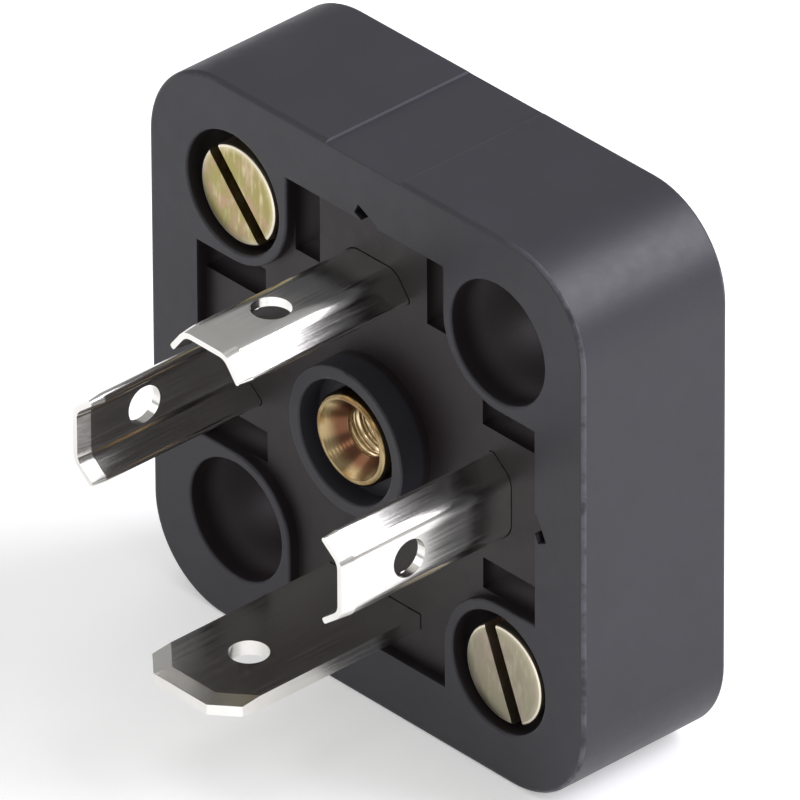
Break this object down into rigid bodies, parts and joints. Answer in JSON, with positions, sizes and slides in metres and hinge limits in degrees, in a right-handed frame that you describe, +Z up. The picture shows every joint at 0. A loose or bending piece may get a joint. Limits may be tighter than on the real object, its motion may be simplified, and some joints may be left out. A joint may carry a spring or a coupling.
{
  "type": "appliance plug",
  "caption": "Square flange-mounted appliance plug: folded pole contacts, a longer flat earth tab, a threaded centre insert and slotted screws in deep corner counterbores.",
  "frame": {"origin": "centre of the flat rear mounting face", "axes": "+Y out of the rear face towards the appliance, so the contacts point along -Y; +Z up, towards the edge with the shallow groove, with the earth tab lowest; +X to the right as seen from the mating side"},
  "size_m": [0.03, 0.0248, 0.03],
  "materials": {
    "moulded_flange": "fine satin moulding",
    "tinned_contact": "bright tin plating over brass strip",
    "turned_brass": "turned",
    "plated_screw": "pale brass, smooth"
  },
  "bodies": {
    "root": {"housing": "moulded_flange", "contact_top": "tinned_contact", "contact_left": "tinned_contact", "contact_right": "tinned_contact", "earth_contact": "tinned_contact", "centre_insert": "turned_brass", "fixing_screw_upper": "plated_screw", "fixing_screw_lower": "plated_screw"}
  },
  "joints": []
}
